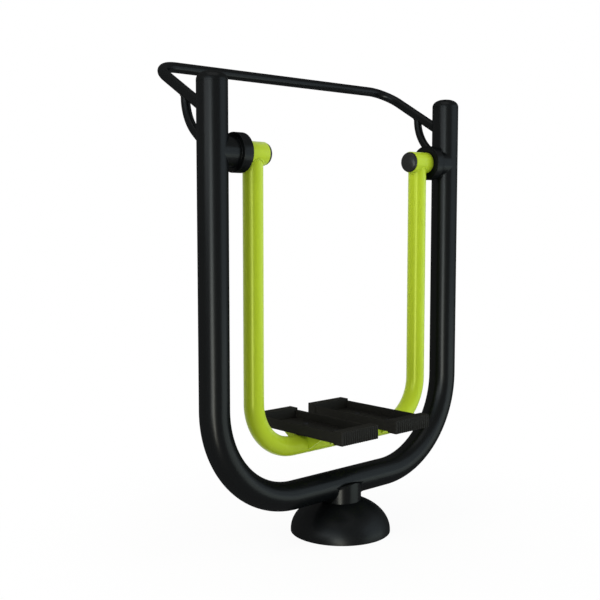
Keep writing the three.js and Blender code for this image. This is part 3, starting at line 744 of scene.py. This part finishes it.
def bracket_shells():
    """Flat plate over the arm tube with a gusset at each end and four weld nuts under it.

    The lower edge of a gusset is an arc round the tube."""
    top = plate_high[2]
    base = top - bracket_thickness
    half = plate_high[1]
    corners = [
        (plate_low[0], -half),
        (plate_high[0], -half),
        (plate_high[0], half),
        (plate_low[0], half),
    ]
    shells = [slab(rounded(corners, bracket_corner, steps=6, loop=True), base, top, "z")]
    bottom = plate_low[2]
    tube = arm_radius + seat_gap
    swing = math.acos((bottom - arm_level_height) / tube)
    angle = np.linspace(-swing, swing, 33)
    arc = np.stack([tube * np.sin(angle), arm_level_height + tube * np.cos(angle)], -1)
    crest = base + gusset_overlap
    right_side = [(gusset_foot, bottom), (half, base), (half, crest)]
    left_side = [(-half, crest), (-half, base), (-gusset_foot, bottom)]
    outline = np.concatenate([right_side, left_side, arc])
    for start in (plate_low[0], plate_high[0] - gusset_thickness):
        shells.append(slab(outline, start, start + gusset_thickness, "x"))
    middle = (plate_low[0] + plate_high[0]) / 2
    turn = np.arange(6) * math.pi / 3
    hexagon = np.stack([np.cos(turn), np.sin(turn)], -1) * weld_nut_across_flats / math.sqrt(3)
    for across in (-1, 1):
        for along in (-1, 1):
            place = (middle + across * bolt_spacing_x / 2, along * bolt_spacing_y / 2)
            shells.append(slab(hexagon + place, base - weld_nut_thickness, base + weld_nut_overlap, "z"))
    return shells


# Foot pedal
def wrap(x_half, y_low, y_high, radius, count=24):
    """Rectangle with rounded corners as points: six steps to a corner, and the same count on each side."""
    corners = [(x_half, y_low), (x_half, y_high), (-x_half, y_high), (-x_half, y_low)]
    arcs = rounded(corners, radius, steps=6, loop=True)
    ends = np.roll(arcs, -1, axis=0)
    share = np.linspace(0, 1, count, endpoint=False)[:, None, None]
    long_runs = np.linalg.norm(ends - arcs, axis=1) > 2 * radius
    pieces = []
    for start, end, long_run in zip(arcs, ends, long_runs):
        steps = share[:, 0] if long_run else np.zeros((1, 1))
        pieces.append(start + (end - start) * steps)
    return np.concatenate(pieces)


def lofted(rings):
    """Closed surface through (outline, height) rings that all have the same number of points."""
    levels = [np.concatenate([ring, np.full((len(ring), 1), height)], axis=1) for ring, height in rings]
    return skin(np.stack(levels))


def pedal_tray():
    """Side walls with rounded edges round a sunk floor, their ends hidden in the blocks.

    The rings run from the floor's underside out round the walls' lower edge, up, and in to the tread."""
    x_half = (pedal_high[0] - pedal_low[0]) / 2 - pedal_block_step
    y_half = (pedal_high[1] - pedal_low[1]) / 2 - pedal_block_length + pedal_wall + tray_overlap
    floor = pedal_low[2] + pedal_block_drop
    base = floor - pedal_wall_drop
    top = floor + pedal_wall_height
    ease, slight = pedal_ease, slight_ease

    def ring(inset):
        return wrap(x_half - inset, -y_half + inset, y_half - inset, tray_corner)

    return lofted([
        (ring(pedal_wall), floor),
        (ring(pedal_wall), base + slight),
        (ring(pedal_wall - slight), base),
        (ring(under_ease), base),
        (ring(0), base + under_ease),
        (ring(0), top - ease),
        (ring(slight), top - slight),
        (ring(ease), top),
        (ring(pedal_wall - ease), top),
        (ring(pedal_wall - slight), top - slight),
        (ring(pedal_wall), top - ease),
        (ring(pedal_wall), floor + pedal_floor),
    ])


def pedal_block(direction):
    """Raised end block: a rounded rectangle whose outer face has upright grooves between rounded ribs.

    A groove's depth falls from its middle as a power of the distance left to its edge."""
    x_half = (pedal_high[0] - pedal_low[0]) / 2
    far = (pedal_high[1] - pedal_low[1]) / 2
    near = far - pedal_block_length
    base, top = pedal_low[2], pedal_high[2]
    ease, slight = pedal_ease, slight_ease
    flat = x_half - pedal_corner
    pitch = 2 * flat / groove_count
    side_points, corner_points, pitch_points, back_points = 6, 9, 14, 12

    def ring(inset, groove):
        along = np.linspace(near + inset, far - pedal_corner, side_points)
        side = along[:, None] * (0, 1) + (x_half - inset, 0)
        angle = np.linspace(0, math.pi / 2, corner_points)[1:, None]
        arc = (pedal_corner - inset) * np.concatenate([np.cos(angle), np.sin(angle)], 1)
        across = np.linspace(flat, -flat, groove_count * pitch_points + 1)[1:-1]
        wave = np.abs(((flat - across) / pitch) % 1 - 0.5) * 2
        depth = groove * groove_depth * np.clip(1 - wave / groove_share, 0, 1) ** groove_power
        face = np.stack([across, far - inset - depth], -1)
        half = np.concatenate([side, (flat, far - pedal_corner) + arc])
        other = half[::-1] * (-1, 1)
        back_across = np.linspace(-x_half + inset, x_half - inset, back_points)[1:-1]
        back = np.stack([back_across, np.full(len(back_across), near + inset)], -1)
        return np.concatenate([half, face, other, back]) * (1, direction)

    hollow = pedal_wall
    return lofted([
        (ring(hollow, 0), top - pedal_wall),
        (ring(hollow, 0), base + ease),
        (ring(hollow - ease, 0), base),
        (ring(ease, 1), base),
        (ring(0, 1), base + ease),
        (ring(0, 1), top - ease),
        (ring(slight, 1), top - slight),
        (ring(ease, 1), top),
    ])


# The rings of a tread rib: how far each is drawn in from the ends, its half width, corner and height
rib_rings = [
    (0.0, 0.0024, 0.0022, -tread_rib_root),
    (0.0, 0.0022, 0.0020, 0.6 * tread_rib_height),
    (0.0008, 0.0014, 0.0012, tread_rib_height),
]


def tread_ribs(start, end):
    """Low rounded ribs across the sunk floor, for grip."""
    base = pedal_low[2] + pedal_block_drop + pedal_floor
    x_half = (pedal_high[0] - pedal_low[0]) / 2 - pedal_block_step - pedal_wall - tread_rib_inset
    return [
        lofted([
            (wrap(x_half - inset, y - half_width, y + half_width, corner, count=4), base + height)
            for inset, half_width, corner, height in rib_rings
        ])
        for y in np.arange(start, end, tread_rib_pitch)
    ]


def pedal_shells():
    """Tray, two end blocks and the ribs of the tread, moved to the pedal's place."""
    tray_half = (pedal_high[1] - pedal_low[1]) / 2 - pedal_block_length
    shells = [pedal_tray(), pedal_block(1), pedal_block(-1)]
    shells += tread_ribs(-tray_half + tread_rib_pitch / 2, tray_half - tread_rib_pitch / 4)
    centre = (pedal_low + pedal_high) / 2 * (1, 1, 0)
    return [(points + centre, quads, ends) for points, quads, ends in shells]


def bolt_shells(x, y):
    """Button-head bolt: a low dome with a six-sided socket, over a plain shank.

    The socket's outline is its half width over the cosine of the angle to the nearest side's middle."""
    seat = bolt_high[2] - bolt_head_height
    angle = np.linspace(0, 2 * math.pi, 48, endpoint=False)
    circle = np.stack([np.cos(angle), np.sin(angle)], -1)
    within = (angle + math.pi / 6) % (math.pi / 3) - math.pi / 6
    hexagon = circle * (socket_radius / np.cos(within))[:, None]
    shank = bolt_shank_radius * circle
    rings = [(shank, bolt_low[2]), (shank, seat)]
    rings += [(radius * circle, seat + height) for radius, height in bolt_crown]
    rings += [
        (socket_lead_share * hexagon, seat + bolt_head_height),
        (hexagon, seat + bolt_head_height - socket_lead),
        (hexagon, seat + bolt_head_height - socket_depth),
    ]
    points, quads, ends = lofted(rings)
    return [(points + (x, y, 0), quads, ends)]


# Foot of the frame
def foot_cover_shells():
    """Thin cover: a short upright rim, then radius falling as the cosine while height climbs as the sine."""
    mouth = neck_radius + cover_neck_clearance

    def curve(radius, rise):
        angle = np.linspace(0, math.acos(mouth / radius), 40)
        return np.stack([cover_rim + rise * np.sin(angle), radius * np.cos(angle)], -1)

    inner = cover_radius - cover_wall
    outer_curve = curve(cover_radius, cover_rise)
    inner_curve = curve(inner, cover_rise - cover_wall)[::-1]
    edge = cover_edge_round
    rim = [[edge, inner], [0, inner + edge], [0, cover_radius - edge], [edge, cover_radius]]
    profile = np.concatenate([rim, outer_curve, inner_curve])
    return [skin(turned_grid(profile, np.zeros(3), Z, around=128), loop=True)]


def neck_shells():
    """Upright neck that meets the frame tube in a fillet of weld metal under it, and beside it ends in a rim
    and a plate that closes the mouth.

    At the angle a round the neck the fillet is a cubic curve from the neck's side, one leg below the joint,
    to a landing on the tube at the same distance y = R sin a from its middle, or a little above its widest
    place where y is more than that. Both inner points of the curve lie at one share of the way to the joint,
    which grows with |sin a|. The rim and the plate's landing rise as the sixth power of |sin a|."""
    side_leg_loss = 0.7  # share of its leg that the fillet loses beside the tube
    front_pull, side_pull = 0.25, 0.68  # the inner points' share of the way to the joint, and its growth
    waist_share = 0.4  # height of the ring between the foot and the joint
    sunk_share = (0.96, 0.9, 1)  # the last ring is drawn in, inside the tube, where the surface closes
    angle = np.linspace(0, 2 * math.pi, 144, endpoint=False)
    cosine, sine = np.cos(angle), np.sin(angle)
    side = np.abs(sine)
    rim_rise = side**6
    y = neck_radius * sine
    joint = level_height - np.sqrt(np.maximum(post_radius**2 - y**2, 0)) + neck_lip * rim_rise
    leg = shoulder_leg * (1 - side_leg_loss * side**4)
    surface = post_radius - seat_gap
    landing = plate_angle * rim_rise - np.arccos(np.clip(np.abs(y) / surface, 0, 1))
    landing_y = np.sign(y) * surface * np.cos(landing)
    landing_z = level_height + surface * np.sin(landing)

    def ring(radius, height):
        return np.stack([radius * cosine, radius * sine, np.broadcast_to(height, angle.shape)], -1)

    corner = ring(neck_radius, joint)
    low = ring(neck_radius, joint - leg)
    high = np.stack([(neck_radius + shoulder_reach) * cosine, landing_y, landing_z], -1)
    share = np.linspace(0, 1, 14)[1:, None, None]
    pull = (front_pull + side_pull * side)[None, :, None]
    lower_point = low + pull * (corner - low)
    upper_point = high + pull * (corner - high)
    shoulder = (1 - share) ** 3 * low + 3 * share * (1 - share) ** 2 * lower_point
    shoulder = shoulder + 3 * share**2 * (1 - share) * upper_point + share**3 * high
    waist = ring(neck_radius, (1 - waist_share) * neck_foot + waist_share * joint)
    sunk = high * sunk_share + (0, 0, shoulder_sink)
    rows = np.stack([ring(neck_radius, neck_foot), waist, low])
    return [skin(np.concatenate([rows, shoulder, sunk[None]]))]


# The pieces, each on its body
piece("frame_tube_smooth", frame_shells(), black_coat, "frame", ["frame_tube"])
piece("handrail_smooth", rail_shells(), black_coat, "frame", ["handrail"])
piece("foot_cover_smooth", foot_cover_shells(), cover_coat, "frame", ["foot_cover"])
neck_nodes = ["neck_pipe", "neck_plate_front", "neck_plate_back"]
piece("neck_smooth", neck_shells(), black_coat, "frame", neck_nodes)

bolt_spots = {"front_inner": (-1, -1), "front_outer": (1, -1), "back_inner": (-1, 1), "back_outer": (1, 1)}
pedal_centre_x = (pedal_low[0] + pedal_high[0]) / 2
side_pieces = [
    ("post_cap", cap_shells(), black_coat, "black_powder_coat", "frame"),
    ("handrail_strut", strut_shells(), black_coat, "black_powder_coat", "frame"),
    ("axle_housing", housing_shells(), black_coat, "black_powder_coat", "frame"),
    ("stop_drum", drum_shells(), black_coat, "black_powder_coat", "frame"),
    ("drum_cover_ring", cover_ring_shells(), black_coat, "black_powder_coat", "frame"),
    ("hub_sleeve", sleeve_shells(), lime_coat, "lime_powder_coat", "arm"),
    ("hub_cap", hub_cap_shells(), cap_plastic, "black_moulded_plastic", "arm"),
    ("pedal_bracket", bracket_shells(), lime_coat, "lime_powder_coat", "arm"),
    ("arm_tube", arm_shells(), lime_coat, "lime_powder_coat", "arm"),
    ("arm_plug", plug_shells(), cap_plastic, "black_moulded_plastic", "arm"),
    ("foot_pedal", pedal_shells(), black_plastic, "black_moulded_plastic", "arm"),
]
for spot, (across, along) in bolt_spots.items():
    shells = bolt_shells(pedal_centre_x + across * bolt_spacing_x / 2, along * bolt_spacing_y / 2)
    side_pieces.append((f"pedal_bolt_{spot}", shells, black_zinc, "black_zinc_plated_steel", "arm"))
for side, sign in (("left", -1), ("right", 1)):
    for name, shells, finish, slot, carrier in side_pieces:
        body = "frame" if carrier == "frame" else f"{side}_arm"
        piece(f"{name}_{side}_smooth", shells, finish, body, [f"{name}_{side}"], sign)


# Camera, at the photo's viewpoint
camera_place = Vector((-2.16075, -2.15878, 1.0124))
camera_yaw = math.radians(42.587)
camera_pitch = math.radians(5.026)
ahead = Vector((
    math.sin(camera_yaw) * math.cos(camera_pitch),
    math.cos(camera_yaw) * math.cos(camera_pitch),
    -math.sin(camera_pitch),
))
camera_data = bpy.data.cameras.new("camera")
camera_data.lens = 58.11
camera_data.sensor_width = 36.0
camera = bpy.data.objects.new("camera", camera_data)
camera.location = camera_place
camera.rotation_euler = ahead.to_track_quat("-Z", "Y").to_euler()
bpy.context.scene.collection.objects.link(camera)
bpy.context.scene.camera = camera


# Studio
aim = Vector((0, 0, 0.75))
black_pieces = bpy.data.collections.new("black_pieces")
for made in bpy.context.scene.objects:
    if made.type == "MESH" and made.data.materials[0] is not lime_coat:
        black_pieces.objects.link(made)


def softbox(
    name, azimuth, elevation, distance, width, height, power, colour, lights=True, shines=True, lime=True
):
    """A rectangular lamp that faces the part from an azimuth to the right of the camera's side: angles in
    degrees, distance, width and height in metres, power in watts.

    It can be kept from lighting surfaces, so that only gloss shows it, from showing in gloss, or from the
    lime pieces, whose light would be grainy from a strong panel that only gloss shows."""
    turn = camera_yaw + math.pi - math.radians(azimuth)
    rise = math.radians(elevation)
    towards = Vector((math.sin(turn) * math.cos(rise), math.cos(turn) * math.cos(rise), math.sin(rise)))
    lamp = bpy.data.lights.new(name, "AREA")
    lamp.shape = "RECTANGLE"
    lamp.size, lamp.size_y = width, height
    lamp.energy = power
    lamp.color = linear(colour)[:3]
    made = bpy.data.objects.new(name, lamp)
    made.location = aim + towards * distance
    made.rotation_euler = (-towards).to_track_quat("-Z", "Y").to_euler()
    made.visible_diffuse = lights
    made.visible_glossy = shines
    if not lime:
        made.light_linking.receiver_collection = black_pieces
    bpy.context.scene.collection.objects.link(made)


# Two soft lamps light the part, and a broad cool window on the right lights it and shows in its gloss
softbox("fill_lamp", -47, 38, 4.0, 1.4, 2.0, 68, "#fffbee", shines=False)
softbox("key_lamp", 75, 30, 4.0, 2.4, 2.0, 26, "#fff2d8", shines=False)
softbox("window", 92, 10, 4.0, 5.0, 3.2, 92, "#dcf2ff")
# Reflector panels that only gloss shows: a band down the front of each tube, wide and weak above, narrow
# below, and a cool band on its right side
softbox("panel_over", 0, 76, 4.0, 3.0, 3.0, 60, "#ffffff", lights=False, lime=False)
softbox("panel_top", -22, 28, 5.0, 3.6, 1.8, 50, "#d4eeff", lights=False, lime=False)
softbox("panel_high", -28, 11, 5.0, 4.4, 1.2, 126, "#f2fbff", lights=False)
softbox("panel_middle", -8, 0.3, 10.0, 2.8, 1.8, 215, "#f0ffff", lights=False)
softbox("panel_low", -10, -8.9, 10.0, 2.6, 2.0, 420, "#fafff8", lights=False)
softbox("panel_foot", -1, -20.5, 10.0, 1.5, 3.4, 640, "#fffff0", lights=False, lime=False)
softbox("panel_side", 82, 10, 4.0, 3.4, 3.2, 62, "#dcf2ff", lights=False, lime=False)
softbox("panel_right", 82, -18, 4.0, 3.8, 1.4, 90, "#eefff8", lights=False, lime=False)


def seen_ray(tree):
    """1 for the rays of the camera, of gloss and of glass, which see the white backdrop, else 0."""
    rays = add_node(tree, "ShaderNodeLightPath").outputs
    seen = rays["Is Camera Ray"]
    for kind in ("Is Glossy Ray", "Is Transmission Ray"):
        larger = add_node(tree, "ShaderNodeMath", {"operation": "MAXIMUM"}, {0: seen, 1: rays[kind]})
        seen = larger.outputs[0]
    return seen


# World: an even light on the part, and white for the rays that see the backdrop
ambient_level = 0.48
white = linear("#ffffff")
world = bpy.data.worlds.new("studio")
bpy.context.scene.world = world
world.use_nodes = True
tree = world.node_tree
tree.nodes.clear()
sky = add_node(tree, "ShaderNodeBackground", {"Color": white, "Strength": ambient_level}).outputs[0]
backdrop = add_node(tree, "ShaderNodeBackground", {"Color": white, "Strength": 1.0}).outputs[0]
mixed = add_node(tree, "ShaderNodeMixShader", {}, {0: seen_ray(tree), 1: sky, 2: backdrop}).outputs[0]
add_node(tree, "ShaderNodeOutputWorld", {}, {"Surface": mixed})

# Floor: a wide pale disc that keeps a faint shadow near the foot and fades to the white backdrop
floor_radius = 6.0
floor_pole = 0.001
floor_level = -0.0006  # just under the foot, so that the two never share a plane
floor_columns = 96
shadow_core = 0.2
shadow_reach = 1.2
floor_share = 0.06
floor_profile = [(floor_level, floor_pole), (floor_level, floor_radius)]
floor_grid = turned_grid(floor_profile, np.zeros(3), Z, floor_columns)
inner_ring = np.arange(floor_columns)
following = np.roll(inner_ring, -1)
floor_faces = np.stack([inner_ring, following, following + floor_columns, inner_ring + floor_columns], -1)
floor_mesh = bpy.data.meshes.new("floor")
floor_mesh.from_pydata(
    floor_grid.reshape(-1, 3).tolist(), [], floor_faces.tolist() + [inner_ring[::-1].tolist()]
)
floor = bpy.data.objects.new("floor", floor_mesh)
bpy.context.scene.collection.objects.link(floor)

# Studio paper: matt and nearly white, shown as a share of the backdrop's white that grows with the distance
paper = new_material("studio_paper")
tree = paper.node_tree
place = add_node(tree, "ShaderNodeTexCoord").outputs["Object"]
distance = add_node(tree, "ShaderNodeVectorMath", {"operation": "LENGTH"}, {0: place}).outputs["Value"]
fade = add_node(
    tree,
    "ShaderNodeMapRange",
    {
        "interpolation_type": "SMOOTHSTEP",
        "From Min": shadow_core,
        "From Max": shadow_reach,
        "To Min": 1 - floor_share,
        "To Max": 1.0,
    },
    {"Value": distance},
).outputs["Result"]
share = add_node(tree, "ShaderNodeMath", {"operation": "MULTIPLY"}, {0: seen_ray(tree), 1: fade}).outputs[0]
lit = add_node(tree, "ShaderNodeBsdfDiffuse", {"Color": linear("#f4f4f4")}).outputs[0]
glow = add_node(tree, "ShaderNodeEmission", {"Color": white, "Strength": 1.0}).outputs[0]
mixed = add_node(tree, "ShaderNodeMixShader", {}, {0: share, 1: lit, 2: glow}).outputs[0]
add_node(tree, "ShaderNodeOutputMaterial", {}, {"Surface": mixed})
floor_mesh.materials.append(paper)
floor.visible_glossy = False
floor.visible_shadow = False

bpy.context.scene.view_settings.view_transform = "Standard"
